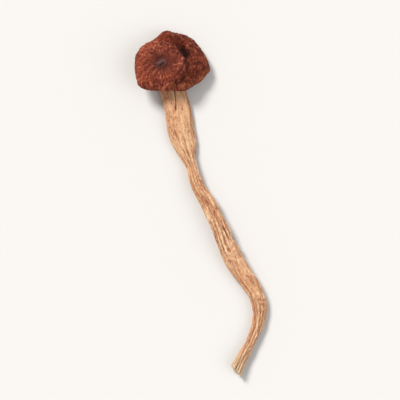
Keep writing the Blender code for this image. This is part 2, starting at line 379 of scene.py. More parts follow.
def ridges(angle, distance, count, reach, shift):
    """Crumpled ridges along the distance: about count side by side, each about reach long."""
    return crumple(on_tube(angle, count / (2.0 * np.pi), distance / reach), 1.0, shift)


def ball_grid(sides, rings, spacing=None):
    """Angle and latitude of every point: rings + 1 rows of points, sides in each."""
    rows = np.arange(rings + 1) / rings
    if spacing is not None:
        rows = np.interp(rows, *spacing)
    t, angle = np.meshgrid(rows, np.arange(sides) * 2.0 * np.pi / sides, indexing="ij")
    return angle.ravel(), t.ravel()


def outward(points, sides):
    """The direction out of the surface at each point of a ball grid."""
    grid = points.reshape(-1, sides, 3)
    around = np.roll(grid, -1, axis=1) - np.roll(grid, 1, axis=1)
    down = np.gradient(grid, axis=0)
    normal = unit(np.cross(down, around))
    normal[0] = unit(normal[1].mean(axis=0))
    normal[-1] = unit(normal[-2].mean(axis=0))
    return normal.reshape(-1, 3)


def ball_faces(sides, rings):
    """Corners of the triangles at the two poles and of the quads between."""
    last = 1 + (rings - 1) * sides
    j = np.arange(sides)
    k = (j + 1) % sides
    top = np.stack([np.zeros_like(j), 1 + j, 1 + k], axis=1)
    low = 1 + (rings - 2) * sides
    bottom = np.stack([low + k, low + j, np.full_like(j, last)], axis=1)
    row = 1 + np.arange(rings - 2)[:, None] * sides
    quads = np.stack([row + j, row + sides + j, row + sides + k, row + k], axis=-1)
    return top, bottom, quads.reshape(-1, 4)


def tube_faces(sides, rows):
    """Corners of the quads between rows of points that each run round a tube."""
    j = np.arange(sides)
    k = (j + 1) % sides
    row = np.arange(rows - 1)[:, None] * sides
    return np.stack([row + j, row + k, row + sides + k, row + sides + j], axis=-1).reshape(-1, 4)


def new_mesh(name, points, *face_groups):
    """A smooth mesh from points in millimetres and arrays of face corners."""
    mesh = bpy.data.meshes.new(name)
    corners = np.concatenate([group.ravel() for group in face_groups])
    sizes = np.concatenate([np.full(len(group), group.shape[1]) for group in face_groups])
    mesh.vertices.add(len(points))
    mesh.vertices.foreach_set("co", (points * MM).astype(np.float32).ravel())
    mesh.loops.add(len(corners))
    mesh.loops.foreach_set("vertex_index", corners.astype(np.int32))
    mesh.polygons.add(len(sizes))
    mesh.polygons.foreach_set("loop_start", (np.cumsum(sizes) - sizes).astype(np.int32))
    mesh.update(calc_edges=True)
    mesh.validate()
    mesh.shade_smooth()
    return mesh


def paint_values(mesh, values):
    """Stores a number or a place for each point of the mesh, for its material to read."""
    for name, rows in values.items():
        kind = "FLOAT_VECTOR" if rows.ndim == 2 else "FLOAT"
        field = "vector" if rows.ndim == 2 else "value"
        layer = mesh.attributes.new(name, kind, "POINT")
        layer.data.foreach_set(field, rows.astype(np.float32).ravel())


def new_object(name, data):
    """Puts a mesh, a light or a camera in the scene."""
    made = bpy.data.objects.new(name, data)
    bpy.context.scene.collection.objects.link(made)
    return made


def new_piece(mesh, finish, slot, *nodes):
    """Puts a finished mesh in the scene, riding on the part and standing for its nodes."""
    piece = new_object(mesh.name, mesh)
    mesh.materials.append(finish)
    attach(piece, BODY)
    if nodes:
        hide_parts(*nodes)
    return piece


def ball_piece(name, points, sides, rings, finish, slot, node, **values):
    """Closes a ball grid into a piece: the rows at the poles become one point each."""
    keep = np.r_[0, sides : rings * sides, rings * sides]
    mesh = new_mesh(name, points[keep], *ball_faces(sides, rings))
    paint_values(mesh, {key: rows[keep] for key, rows in values.items()})
    return new_piece(mesh, finish, slot, node)


# The cap.

CAP_SIDES = 440
CAP_RINGS = 216
# Most rings go to the top and the rim, few to the recess that the gills fill.
CAP_SPACING = ((0.0, 0.86, 1.0), (0.0, 0.70, 1.0))

# Radial wrinkles in rings round the dome's middle: how many side by side, how long each is, where
# their noise is read, and the distances at which the ring fades in and out.
WRINKLE_RINGS = (
    (26, 4.2, 4.4, (1.2, 3.0), (5.4, 7.8)),
    (60, 2.8, 7.7, (4.2, 6.2), (8.5, 11.0)),
    (96, 2.3, 2.6, (8.0, 10.5), (90.0, 91.0)),
)
RADIAL_HEIGHT = 0.085
# How far bends turn the wrinkles in radians, push them outward, and swirl the knots.
WIDE_TURN = 0.11
SHORT_TURN = 0.05
BEND_PUSH = 1.2
BEND_SWIRL = 0.6
# Folds round the dome, next to the crease and on the flap, where the radial ones are lower.
ROUND_HEIGHT = 0.085
ROUND_WIDTH = 1.0
ROUND_FROM = (6.8, 9.8)
RADIAL_LOWER = 0.6
# Folds that cross the cap aslant, and the distances over which they fade in.
SLANT_HEIGHT = 0.068
SLANT_WIDTH = 0.78
SLANT_LENGTH = 2.6
SLANT_FROM_DOME = (3.5, 7.0)
KNOT_HEIGHT = 0.050
GRAIN_HEIGHT = 0.050
DUST_HEIGHT = 0.025
# The wrinkles are flatter where the skin is drawn round the rim, and end under it.
RIM_FLATTENS = 0.15
WRINKLES_END = (0.72, 0.78)
# The flap's skin is rougher by this share.
FLAP_ROUGHER = 0.40
# The slit at the bottom of the crease, which the hollow fills in part, and its two ends.
SLIT_DEPTH = 0.35
SLIT_WANDER = 0.6
SLIT_FILLED = 0.7
SLIT_FROM = (-1.40, -1.05)
SLIT_TO = (0.95, 1.50)
# The slit in the sunken middle, which the material fills with painted shade, its direction, and the
# painted grey highlight beside it.
NAVEL_DEPTH = 0.50
NAVEL_WANDER = 0.3
NAVEL_ANGLE = math.radians(42)
SLIT_HIGHLIGHT_STRENGTH = 0.75
# How much painted shade the material lays in the pit and the valley of the crease.
PIT_PAINTED_SHADE = 1.20
VALLEY_PAINTED_SHADE = 0.50
# The height of wrinkles that counts as 1 for the material, which paints shade in their creases and
# a highlight on their ridges.
WRINKLE_UNIT = 0.19
# Painted light and the rim's own paler margin: how much paler the skin is on the left, which faces
# the light, and along the rim, where the left rim also gets a painted highlight; and at which
# angles in radians.
LEFT_PAINTED_LIGHT = 0.8
LEFT_LIGHT_ANGLE = 2.9
LEFT_RIM_LIT_ANGLE = 2.6
LOW_RIM_PALER = 0.6
LOW_RIM_PALEST = -0.8


def cap_wrinkles(shape, t, distance, around, bend):
    """Height of the fine wrinkles in millimetres, and places whose noise runs along them."""
    short_bend = cloud(shape, grain=1.6, shift=29.3)
    turned = around + WIDE_TURN * bend + SHORT_TURN * short_bend
    pushed = distance + BEND_PUSH * bend
    radial = np.zeros_like(t)
    for count, reach, shift, starts, ends in WRINKLE_RINGS:
        radial += between(distance, starts, ends) * ridges(turned, pushed, count, reach, shift)
    near = climb(distance, ROUND_FROM) * crease_window(around)
    far = 1.0 - near
    across = (distance + 0.6 * bend + 0.25 * short_bend) / ROUND_WIDTH
    round_folds = crumple(on_tube(turned, 4.0, across), grain=1.0, shift=3.3)
    fine = RADIAL_HEIGHT * (1.0 - RADIAL_LOWER * near) * radial + ROUND_HEIGHT * near * round_folds
    swirl = shape + BEND_SWIRL * np.stack([bend, short_bend, -bend], axis=1)
    x, y, z = swirl.T
    aslant = np.stack([(x - y) / SLANT_WIDTH, (x + y) / SLANT_LENGTH, z / SLANT_LENGTH], axis=1)
    slanting = crumple(aslant, grain=math.sqrt(2.0), shift=19.7)
    fine += SLANT_HEIGHT * climb(distance, SLANT_FROM_DOME) * slanting
    fine += KNOT_HEIGHT * crumple(swirl, grain=1.35, shift=13.1)
    fine += GRAIN_HEIGHT * crumple(swirl, grain=0.7, shift=31.7)
    fine += DUST_HEIGHT * cloud(shape, grain=0.30, shift=17.3)
    fine *= 1.0 - RIM_FLATTENS * hill(t, width=0.045, middle=0.47)
    flow = on_tube(turned, 6.0 * far + 2.4 * near, (0.22 * far + 0.50 * near) * pushed)
    return fine * (1.0 - climb(t, WRINKLES_END)), flow


def crease_marks(distance, around, bend):
    """The slit at the bottom of the crease, and the painted shade that the material lays in the
    crease and its pit.
    """
    off_crease = distance - CREASE_RADIUS - SLIT_WANDER * bend
    in_hollow = around - HOLLOW_ANGLE
    along = between(around, SLIT_FROM, SLIT_TO)
    slit = hill(off_crease, width=0.85) * along * (1.0 - SLIT_FILLED * hill(in_hollow, width=0.3))
    pit = hill(off_crease, width=2.0) * hill(in_hollow, width=0.34)
    valley = hill(off_crease, width=1.4) * along
    return slit, np.maximum(PIT_PAINTED_SHADE * pit, VALLEY_PAINTED_SHADE * valley)


def middle_marks(distance, around, bend):
    """The slit in the sunken middle, which the material darkens with painted shade, and the painted
    grey highlight that lies beside it in threads.
    """
    along = distance * np.cos(around - NAVEL_ANGLE)
    over = distance * np.sin(around - NAVEL_ANGLE) + NAVEL_WANDER * bend
    navel = hill(over, width=0.75) * hill(along, width=2.3)
    drawn_out = np.stack([along / 2.2, over / 0.55, np.zeros_like(along)], axis=1)
    threads = SLIT_HIGHLIGHT_STRENGTH * (1.0 + cloud(drawn_out, grain=1.0, shift=5.7))
    return navel, hill(over, width=1.5, middle=0.6) * hill(along, width=3.0) * threads


def pale_and_lit_rim(angle, t):
    """Where the rim's skin is paler: its own paler margin on the left, with a painted highlight
    there as well, and less on the low side.
    """
    left = between(t, (0.42, 0.465), (0.50, 0.58))
    left *= climb(np.cos(angle - LEFT_RIM_LIT_ANGLE), (0.0, 0.9))
    low = hill(t, width=0.06, middle=0.41) * climb(np.cos(angle - LOW_RIM_PALEST), (0.1, 0.9))
    return left + LOW_RIM_PALER * low


def make_cap(finish):
    angle, t = ball_grid(CAP_SIDES, CAP_RINGS, CAP_SPACING)
    shape, share = cap_shape(angle, t)
    on_top = 1.0 - climb(t, TOP_ENDS)
    distance, around = from_dome(shape[:, 0], shape[:, 1])
    bend = cloud(shape, grain=4.0, shift=9.1)
    fine, flow = cap_wrinkles(shape, t, distance, around, bend)
    flap = climb(distance - CREASE_RADIUS, (-2.5, 2.5)) * crease_window(around) * on_top
    fine *= 1.0 + FLAP_ROUGHER * flap
    # The second value is the painted shade for the crease and its pit.
    slit, crease = crease_marks(distance, around, bend)
    # The middle slit, which the material also fills with painted shade, and the painted grey
    # highlight beside it.
    navel, bloom = middle_marks(distance, around, bend)
    cuts = (SLIT_DEPTH * slit + NAVEL_DEPTH * navel) * on_top
    points = shape + outward(shape, CAP_SIDES) * (fine - cuts)[:, None]
    # Painted shade where the broad relief is low, in the crease, its pit and the dimple, and
    # painted light on the left side, which faces the light.
    broad = climb(top_relief(shape[:, 0], shape[:, 1], share), (-1.0, 0.5))
    left = climb(np.cos(angle - LEFT_LIGHT_ANGLE), (0.2, 1.0))
    grid = lie_on_surface(place_cap(*points.T)), CAP_SIDES, CAP_RINGS
    return ball_piece(
        "cap_flesh_and_skin",
        *grid,
        finish,
        "cap_skin",
        "cap",
        # The wrinkle and broad values carry the relief that the material turns into painted shade
        # and painted highlight.
        wrinkle=fine / WRINKLE_UNIT,
        broad=broad + LEFT_PAINTED_LIGHT * left * on_top,
        middle=hill(distance, width=5.0) * on_top,
        shade=hill(distance, width=8.5) * on_top,
        # Painted shade in the middle slit, and the painted grey highlight beside it.
        navel=navel * on_top,
        bloom=bloom * on_top,
        # Painted shade in the crease and its pit.
        crease=crease * on_top,
        flap=flap,
        under=climb(t, (0.57, 0.68)),
        margin=pale_and_lit_rim(angle, t),
        flow=flow,
        skin=shape,
    )


# The gills and the torn veil.

FINE_GILL_PAIRS = 44
GILL_SIDES = 16 * FINE_GILL_PAIRS
GILL_RINGS = 92
# How far the gills sway, how far the short ones shift, and how ragged the edges are.
GILL_SWAY = 2.2
SHORT_GILLS_SHIFT = 1.5
RAGGED_HEIGHT = 0.12

VEIL_SIDES = 560
VEIL_ROWS = 26
VEIL_THICKNESS = 0.16
# The veil hangs from the rim's inner side: share of the reach and height there.
VEIL_ROOT = (0.768, 1.55)
# How far it drops towards its torn edge, sags between, and curls there.
VEIL_DROP = 0.35
VEIL_SAG = 0.45
VEIL_CURL = 0.30
# Its pleats: count, height, and how far they sway.
PLEATS = 70.0
PLEAT_HEIGHT = 0.10
PLEAT_SWAY = 3.0


def torn_edge(angle):
    """Share of the cap's reach where the torn veil begins."""
    return VEIL_FROM + VEIL_WANDER * np.sin(2.0 * angle + 0.8) + VEIL_TATTER * np.sin(7.0 * angle)


def make_gills(finish):
    angle, t = ball_grid(GILL_SIDES, GILL_RINGS)
    share, height = through(GILL_SECTION, t).T
    distance = share * reach_at(angle)
    flat = on_tube(angle, distance, height)
    x, y, _ = flat.T
    sway = cloud(flat, grain=5.0, shift=2.2)
    seat = (SEAT_HEIGHT - height) * (1.0 - climb(distance, SEAT_ENDS))
    height = height + seat * (t < 0.5)
    wave = np.cos(FINE_GILL_PAIRS * angle + GILL_SWAY * sway)
    short_from = distance - SHORT_GILLS_SHIFT * sway
    bladed = np.maximum(wave, 0.0) + np.maximum(-wave, 0.0) * climb(short_from, SHORT_GILLS_START)
    shown = climb(distance, GILLS_START) * (1.0 - climb(t, GILLS_END))
    # How far down between the blades; the material paints shade there.
    deep = (1.0 - np.sqrt(bladed)) * shown
    ragged = RAGGED_HEIGHT * cloud(flat, grain=0.8, shift=8.0) * shown
    z = height + GILL_DEPTH * deep + ragged - flap_drop(x, y)
    grid = place_cap(x, y, z), GILL_SIDES, GILL_RINGS
    skin = np.stack([x, y, z], axis=1)
    return ball_piece("gill_blades", *grid, finish, "gill_flesh", "gills", deep=deep, skin=skin)


def make_veil(finish):
    """The torn veil: a thin pleated skin from the rim's inner side to a ragged edge."""
    angle = np.tile(np.arange(VEIL_SIDES) * 2.0 * np.pi / VEIL_SIDES, VEIL_ROWS)
    v = np.repeat(np.linspace(0.0, 1.0, VEIL_ROWS), VEIL_SIDES)
    ring = on_tube(angle, 1.0, np.zeros_like(angle))
    edge = torn_edge(angle) + 0.06 * cloud(ring, grain=0.11, shift=6.0)
    edge = edge + 0.03 * cloud(ring, grain=0.03, shift=2.0)
    reach = (VEIL_ROOT[0] + (edge - VEIL_ROOT[0]) * v) * reach_at(angle)
    x = reach * np.cos(angle)
    y = reach * np.sin(angle)
    pleats = np.cos(PLEATS * angle + PLEAT_SWAY * cloud(ring, grain=0.25, shift=1.0))
    pleats = PLEAT_HEIGHT * pleats * (0.4 + v)
    sag = VEIL_SAG * v * (1.0 - v) + VEIL_CURL * v**3 * cloud(ring, grain=0.2, shift=3.0)
    z = VEIL_ROOT[1] - VEIL_DROP * v - sag + pleats - flap_drop(x, y)
    mesh = new_mesh("torn_veil", place_cap(x, y, z), tube_faces(VEIL_SIDES, VEIL_ROWS))
    paint_values(mesh, {"torn": v, "skin": np.stack([x, y, z], axis=1)})
    piece = new_piece(mesh, finish, "gill_flesh")
    solid = piece.modifiers.new("thickness", "SOLIDIFY")
    solid.thickness = VEIL_THICKNESS * MM
    solid.offset = 0.0
    return piece


# The stem.

STEM_SIDES = 212
STEM_RINGS = 464
STEM_LENGTH = 165.0
# How far ribs, furrows and fibres wander round the stem, in radians.
RIBS_WANDER = 0.16
FURROWS_WANDER = 0.04
FIBRES_WANDER = 0.12
FIBRES_RIPPLE = 0.07
# Folds across the stem where it bends: share of its length, angle in degrees, depth, and slant.
FOLDS = (
    (0.338, 120, 0.25, 0.30),
    (0.455, 70, 0.20, -0.40),
    (0.643, 85, 0.52, 0.55),
    (0.655, 60, 0.25, -0.30),
    (0.792, 130, 0.30, 0.40),
    (0.806, 110, 0.25, 0.15),
    (0.905, 60, 0.20, -0.35),
)
FOLD_WIDTH = 0.62
FOLD_SPREAD = 0.8
FOLD_WANDER = 1.1
# Knots, long and uneven with a hollow on top: share of the length, angle in degrees, height, size.
KNOTS = (
    (0.245, 55, 0.35, 1.5),
    (0.395, 110, 0.40, 1.7),
    (0.560, 62, 0.30, 1.2),
    (0.622, 78, 0.50, 1.6),
    (0.700, 125, 0.30, 1.3),
    (0.760, 60, 0.40, 1.5),
    (0.870, 100, 0.30, 1.2),
)
KNOT_SQUEEZE = 0.6
KNOT_UNEVEN = 0.25
KNOT_HOLLOW = (0.9, 0.35)
# The stem's half width at folds and at knots.
FOLD_RADIUS = 4.0
KNOT_RADIUS = 3.4
# Cracks of the same kind as the furrows, too fine for part.py.
CRACKS = (
    ((98, 118), 0.105, 0.85, (0.552, 0.567), (0.587, 0.607)),
    ((50, 62), 0.080, 0.40, (0.455, 0.475), (0.505, 0.530)),
    ((118, 124), 0.080, 0.45, (0.700, 0.720), (0.750, 0.775)),
    ((60, 72), 0.090, 0.45, (0.845, 0.865), (0.905, 0.930)),
)
# Fine relief of the stem, and the share of it that is there next to the cap.
STRAND_HEIGHT = 0.15
THREAD_HEIGHT = 0.13
HAIR_HEIGHT = 0.06
SCALE_HEIGHT = 0.085
FINE_AT_CAP = 0.35
# How much flatter ribs and strands are on a stretch below the cap and past the bend.
CALM = 0.45
CALM_STARTS = (0.06, 0.12)
CALM_ENDS = (0.27, 0.36)
CALM_PAST_BEND = 0.35
# The painted fibres along the stem: share of its length, strength.
BOLD = (
    (0.28, 0.62),
    (0.52, 1.10),
    (0.64, 1.10),
    (0.70, 0.72),
    (0.77, 1.08),
    (0.92, 1.12),
    (0.965, 0.62),
)
# The brown band on the left of the wide upper part, weaker at the very edge.
BAND_STARTS = (0.05, 0.12)
BAND_ENDS = (0.26, 0.40)
BAND_WEAKER = 0.55
# The shaded strip on the right of the same part.
SHADE_STARTS = (0.08, 0.13)
SHADE_ENDS = (0.27, 0.34)
# Brown marks on the upper side, longer along the stem: the middle (x, y) and the size.
MARKS = (
    (-14.5, 45.1, 0.35),
    (-12.3, 42.9, 0.30),
    (-7.7, 40.0, 0.50),
    (-10.4, 36.4, 0.40),
    (-12.9, 36.6, 0.45),
    (-12.6, 33.8, 0.35),
    (-11.1, 29.6, 0.70),
    (-4.9, 30.1, 0.35),
    (-3.6, 23.8, 0.45),
    (4.9, -13.4, 0.60),
    (9.6, -15.1, 0.35),
    (12.0, -22.5, 0.40),
    (19.8, -33.9, 0.40),
    (24.9, -43.4, 0.35),
)
MARK_SQUEEZE = 0.7
# For the material: the relief that counts as 1 for the painted highlight on raised fibres and the
# painted shade between them, how much folds count towards the painted shade in furrows, and how
# long streaks are.
FIBRE_UNIT = 0.25
FOLDS_IN_FURROW_SHADE = 0.45
STREAK_LENGTH = 10.0
# Stubs of fibres all over the cut face.
STUB_HEIGHT = 0.2


def stem_furrows(angle, run, wander):
    """Depth of the furrows and cracks."""
    furrow = np.zeros_like(run)
    for degrees, width, depth, starts, ends in FURROWS + CRACKS:
        middle = np.radians(np.interp(run, (starts[0], ends[1]), degrees))
        aside = turn_between(middle + FURROWS_WANDER * wander, angle)
        furrow += depth * hill(aside, width) * between(run, starts, ends)
    return furrow


def stem_folds(angle, length, wander):
    """Depth of the folds across the stem."""
    fold = np.zeros_like(length)
    for place, degrees, depth, slant in FOLDS:
        aside = turn_between(math.radians(degrees), angle)
        along = length - STEM_LENGTH * place - FOLD_RADIUS * slant * aside - FOLD_WANDER * wander
        fold += depth * hill(along, FOLD_WIDTH) * hill(aside, FOLD_SPREAD)
    return fold


def stem_knots(angle, length, strands):
    """Height of the knots, each a hill with a hollow in it."""
    knot = np.zeros_like(length)
    deep, small = KNOT_HOLLOW
    for place, degrees, height, size in KNOTS:
        aside = KNOT_RADIUS * turn_between(math.radians(degrees), angle)
        away = np.hypot(aside, KNOT_SQUEEZE * (length - STEM_LENGTH * place))
        away += KNOT_UNEVEN * strands
        knot += height * (hill(away, size) - deep * hill(away, small * size))
    return knot


def stem_relief(angle, run):
    """Relief across the stem in millimetres: broad forms, fine ones, furrows, and folds across."""
    length = STEM_LENGTH * run
    drift = 1.3 * np.sin(5.0 * run + 0.6) + 2.2 * run
    crowded = angle + RIB_CROWDING * np.sin(2.0 * angle + 9.0 * run)
    lumps = on_tube(angle, 1.0, STEM_LUMPS_ALONG * run)
    wander = cloud(lumps, grain=0.9, shift=15.8)
    ripple = cloud(lumps, grain=0.35, shift=3.9)
    rib_turns = STEM_RIBS * (crowded + RIBS_WANDER * wander) + drift
    ribs = 2.0 * np.abs(np.cos(0.5 * rib_turns)) ** 0.8 - 1.0
    full = climb(run, (0.0, RIBS_FULL))
    strength = np.clip(0.75 + 0.9 * cloud(lumps, grain=0.8, shift=25.4), 0.15, 1.2)
    broad = -RIB_DEPTH * (0.5 - 0.5 * ribs) * (0.15 + 0.85 * full) * strength
    broad += STEM_LUMP_HEIGHT * cloud(lumps, STEM_LUMP, shift=5.1) * full
    turned = angle + FIBRES_WANDER * wander + FIBRES_RIPPLE * ripple
    strands = ridges(turned, length, count=19, reach=8.0, shift=1.9)
    threads = ridges(turned, length, count=40, reach=3.4, shift=5.3)
    hairs = ridges(turned, length, count=84, reach=2.2, shift=8.8)
    scales = crumple(on_tube(turned, 2.2, length / 1.7), grain=1.0, shift=6.4)
    patches = 0.7 + 0.6 * cloud(lumps, grain=0.5, shift=41.2)
    fine = STRAND_HEIGHT * strands + THREAD_HEIGHT * patches * threads
    fine += HAIR_HEIGHT * hairs + SCALE_HEIGHT * scales
    calm = 1.0 - CALM * between(run, CALM_STARTS, CALM_ENDS)
    calm *= 1.0 - CALM_PAST_BEND * hill(run, width=0.05, middle=0.695)
    fine *= calm * (FINE_AT_CAP + (1.0 - FINE_AT_CAP) * full)
    fine += stem_knots(angle, length, strands)
    fold = stem_folds(angle, length, wander + ripple)
    return broad * calm, fine, stem_furrows(angle, run, wander), fold


def left_band(angle):
    """The brown band across the stem, strongest a little inside the left edge."""
    side = np.cos(angle)
    return climb(side, (-0.20, 0.55)) * (1.0 - BAND_WEAKER * climb(side, (0.82, 0.97)))


def stem_marks(angle, points):
    """The small brown marks on the upper side, 1 in the middle of each."""
    mark = np.zeros(len(points))
    for x, y, size in MARKS:
        away = np.hypot(points[:, 0] - x, MARK_SQUEEZE * (points[:, 1] - y))
        mark = np.maximum(mark, hill(away, size))
    return mark * (np.sin(angle) > 0.0)


def stem_shape(angle, t, lift=0.0):
    """The stem's surface, or a place above it, with the values that its material reads."""
    run = np.clip((t - END_SHARE) / (1.0 - 2.0 * END_SHARE), 0.0, 1.0)
    top_end = np.clip(t / END_SHARE, 0.0, 1.0)
    cut_end = np.clip((1.0 - t) / END_SHARE, 0.0, 1.0)
    station, along, side, upward = stem_frame(run)
    wide, thick, twist = station[:, 3], station[:, 4], np.radians(station[:, 5])
    broad, fine, furrow, fold = stem_relief(angle, run)
    relief = broad + fine - furrow - fold + lift
    shrink = top_end * cut_end
    across = (wide + relief) * np.cos(angle) * shrink
    over = (thick + relief) * np.sin(angle) * shrink
    turned_across = across * np.cos(twist) - over * np.sin(twist)
    turned_over = across * np.sin(twist) + over * np.cos(twist)
    teeth = sum(high * np.sin(n * angle + turn) for n, turn, high in CUT_TEETH)
    cut = climb(run, (CUT_FROM, 1.0))
    push = cut * shrink * teeth - climb(run, (SLANT_FROM, 1.0)) * SLANT * turned_across
    points = station[:, :3] + side * turned_across[:, None] + upward * turned_over[:, None]
    points = points + along * push[:, None]
    stubs = cloud(points, grain=0.5, shift=3.9) + 0.6 * cloud(points, grain=0.2, shift=9.9)
    stubs = np.where(cut_end < 1.0, stubs, 0.0) * np.minimum(1.0, 4.0 * (1.0 - cut_end))
    points = points + along * (STUB_HEIGHT * stubs)[:, None]
    # The material paints shade from the groove, fibre and furrow values, and a highlight from the
    # fibre value.
    made = dict(
        groove_shade=-broad / RIB_DEPTH,
        fibre=fine / FIBRE_UNIT,
        furrow=np.clip(furrow + FOLDS_IN_FURROW_SHADE * fold, 0.0, 1.5),
        run=run,
        bold=np.interp(run, *zip(*BOLD)),
        band=left_band(angle) * between(run, BAND_STARTS, BAND_ENDS),
        shaded=climb(-np.cos(angle), (0.64, 0.86)) * between(run, SHADE_STARTS, SHADE_ENDS),
        mark=stem_marks(angle, points),
        skin=points,
        cut=cut * (cut_end < 1.0),
        flow=on_tube(angle, 1.0, STEM_LENGTH * run / STREAK_LENGTH),
    )
    return points, along, made


def make_stem(finish):
    angle, t = ball_grid(STEM_SIDES, STEM_RINGS)
    points, _, made = stem_shape(angle, t)
    grid = lie_on_surface(points), STEM_SIDES, STEM_RINGS
    return ball_piece("stem_body", *grid, finish, "stem_fibre", "stem", **made)


# Loose fibres: strands that peel off the stem, and short ones that stand out of the cut end.

RANDOM_SEED = 41
FIBRE_SIDES = 6
FIBRE_ROWS = 18
# Ranges for peeling strands: start as a share of the stem's length, length, angle in degrees, drift
# round the stem in radians, and rise off it. Then half width and half thickness.
PEELING = 44
PEEL_RANGES = ((0.14, 0.90), (4.0, 13.0), (5.0, 175.0), (-0.22, 0.22), (0.10, 0.55))
PEEL_SIZES = ((0.07, 0.19), (0.04, 0.08))
# They sway, begin a little inside the surface, and rise from a share of their length on.
PEEL_WAVE = 0.06
PEEL_SINKS = 0.06
PEEL_RISES_FROM = 0.35
# Ranges for frayed ends, rooted in the stem: length and splay outward, then half thickness.
FRAYED = 48
FRAY_RANGES = ((0.55, 1.05), (-0.1, 0.22))
FRAY_THICK = (0.018, 0.042)
FRAY_SWAY = 0.20
FRAY_ROOT = 0.5


def fibre_mesh(name, paths, wide, thick, out):
    """Thin tapered strands along paths; out is the direction of each strand's thin side."""
    count, rows, _ = paths.shape
    s = np.linspace(0.0, 1.0, rows)
    taper = (np.minimum(1.0, 5.0 * s) * np.minimum(1.0, 3.0 * (1.0 - s))) ** 0.6 + 0.03
    along = unit(np.gradient(paths, axis=1))
    side = unit(np.cross(along, out))
    lift = np.cross(side, along)
    turn = np.arange(FIBRE_SIDES) * 2.0 * np.pi / FIBRE_SIDES
    across = (wide[:, None] * taper)[:, :, None, None] * np.cos(turn)[None, None, :, None]
    over = (thick[:, None] * taper)[:, :, None, None] * np.sin(turn)[None, None, :, None]
    points = paths[:, :, None] + side[:, :, None] * across + lift[:, :, None] * over
    j = np.arange(FIBRE_SIDES)
    ends = np.stack([j[::-1], (rows - 1) * FIBRE_SIDES + j])
    starts = (np.arange(count) * rows * FIBRE_SIDES)[:, None, None]
    all_sides = (tube_faces(FIBRE_SIDES, rows)[None] + starts).reshape(-1, 4)
    all_ends = (ends[None] + starts).reshape(-1, FIBRE_SIDES)
    mesh = new_mesh(name, lie_on_surface(points.reshape(-1, 3)), all_sides, all_ends)
    tip = np.tile(np.repeat(s, FIBRE_SIDES), count)
    pick = np.repeat(np.arange(count) / count, rows * FIBRE_SIDES)
    paint_values(mesh, {"tip": tip, "pick": pick})
    return mesh


def make_peeling(finish, draw):
    """Strands that lie along the stem's upper side and lift off it at one end."""
    s = np.linspace(0.0, 1.0, FIBRE_ROWS)
    ranges = [draw.uniform(*span, PEELING)[:, None] for span in PEEL_RANGES]
    start, reach, degrees, drift, rise = ranges
    flip = draw.random(PEELING)[:, None] < 0.5
    run = start + reach / STEM_LENGTH * np.where(flip, 1.0 - s, s)
    first = np.radians(degrees)
    angle = (first + drift * s**2 + PEEL_WAVE * np.sin(9.0 * s + 20.0 * first)).ravel()
    lift = (rise * np.maximum(s - PEEL_RISES_FROM, 0.0) ** 1.6 * 2.0 - PEEL_SINKS).ravel()
    t = END_SHARE + run.ravel() * (1.0 - 2.0 * END_SHARE)
    points, _, _ = stem_shape(angle, t, lift)
    base, _, _ = stem_shape(angle, t, lift - 1.0)
    out = unit(points - base).reshape(PEELING, FIBRE_ROWS, 3)
    wide, thick = [draw.uniform(*span, PEELING) for span in PEEL_SIZES]
    mesh = fibre_mesh("peeling_strands", points.reshape(PEELING, FIBRE_ROWS, 3), wide, thick, out)
    return new_piece(mesh, finish, "stem_fibre")


def make_frayed(finish, draw):
    """Short fibres that stand out of the cut end, mostly near its edge."""
    angle = draw.uniform(0.0, 2.0 * np.pi, FRAYED)
    inset = 1.0 - 0.75 * draw.random(FRAYED) ** 1.5
    root, along, _ = stem_shape(angle, 1.0 - END_SHARE * inset)
    middle, _, _ = stem_shape(angle, np.full(FRAYED, 1.0 - 1e-4))
    outwards = unit(root - middle + 1e-6)
    s = np.linspace(0.0, 1.0, FIBRE_ROWS)[None, :, None]
    reach, splay = [draw.uniform(*span, FRAYED)[:, None, None] for span in FRAY_RANGES]
    sway = draw.normal(0.0, FRAY_SWAY, (FRAYED, 1, 3))
    paths = root[:, None] + along[:, None] * (reach * s - FRAY_ROOT)
    paths = paths + (outwards[:, None] * splay + sway) * s**2
    thick = draw.uniform(*FRAY_THICK, FRAYED)
    out = np.repeat(outwards[:, None], FIBRE_ROWS, axis=1)
    mesh = fibre_mesh("frayed_ends", paths, 1.5 * thick, thick, out)
    return new_piece(mesh, finish, "stem_fibre")


# Materials.


def colour(code):
    """A linear colour from a six-digit sRGB code."""
    shares = [int(code[k : k + 2], 16) / 255.0 for k in (0, 2, 4)]
    return (*[c / 12.92 if c <= 0.04045 else ((c + 0.055) / 1.055) ** 2.4 for c in shares], 1.0)


